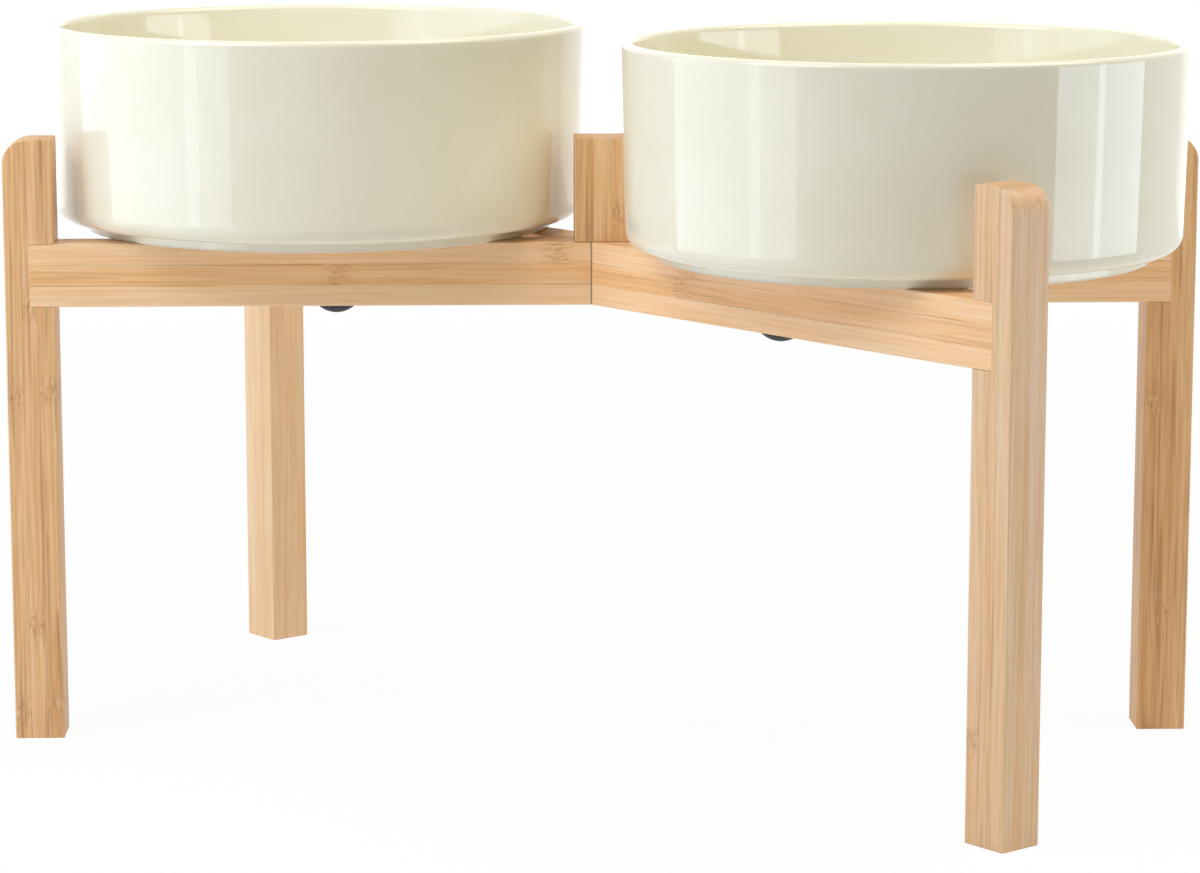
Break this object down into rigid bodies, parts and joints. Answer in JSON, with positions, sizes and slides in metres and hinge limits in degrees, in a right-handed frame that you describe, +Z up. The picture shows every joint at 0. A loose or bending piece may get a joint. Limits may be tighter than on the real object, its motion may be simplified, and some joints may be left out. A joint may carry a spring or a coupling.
{
  "type": "raised double pet bowl stand",
  "caption": "Crossed bamboo stand on straight legs that holds a pair of straight-sided cream glazed bowls side by side at feeding height.",
  "frame": {"origin": "on the floor, midway between the four legs, under the crossing of the rails", "axes": "+X from the crossing towards the right-hand bowl, +Y towards the back, +Z up"},
  "size_m": [0.433, 0.2054, 0.26],
  "materials": {
    "bamboo": "clear satin lacquer on laminated bamboo",
    "dowel_wood": "plain turned hardwood",
    "black_rubber": "matt moulded rubber",
    "screw_steel": "zinc plated",
    "cream_glaze": "glossy cream glaze"
  },
  "bodies": {
    "stand": {"cross_rail_upper": "bamboo", "cross_rail_lower": "bamboo", "centre_post": "bamboo", "leg_front_left": "bamboo", "leg_front_right": "bamboo", "leg_back_left": "bamboo", "leg_back_right": "bamboo", "dowel_front_left": "dowel_wood", "dowel_front_right": "dowel_wood", "dowel_back_left": "dowel_wood", "dowel_back_right": "dowel_wood", "grip_plug_front_left": "black_rubber", "grip_plug_front_right": "black_rubber", "grip_plug_back_left": "black_rubber", "grip_plug_back_right": "black_rubber", "post_screw": "screw_steel"},
    "left_bowl": {"bowl_left": "cream_glaze"},
    "right_bowl": {"bowl_right": "cream_glaze"}
  },
  "joints": [
    {"name": "left_bowl_lift", "type": "slide", "parent": "stand", "child": "left_bowl", "axis": [0, 0, 1], "range_m": [0, 0.08]},
    {"name": "right_bowl_lift", "type": "slide", "parent": "stand", "child": "right_bowl", "axis": [0, 0, 1], "range_m": [0, 0.08]}
  ]
}
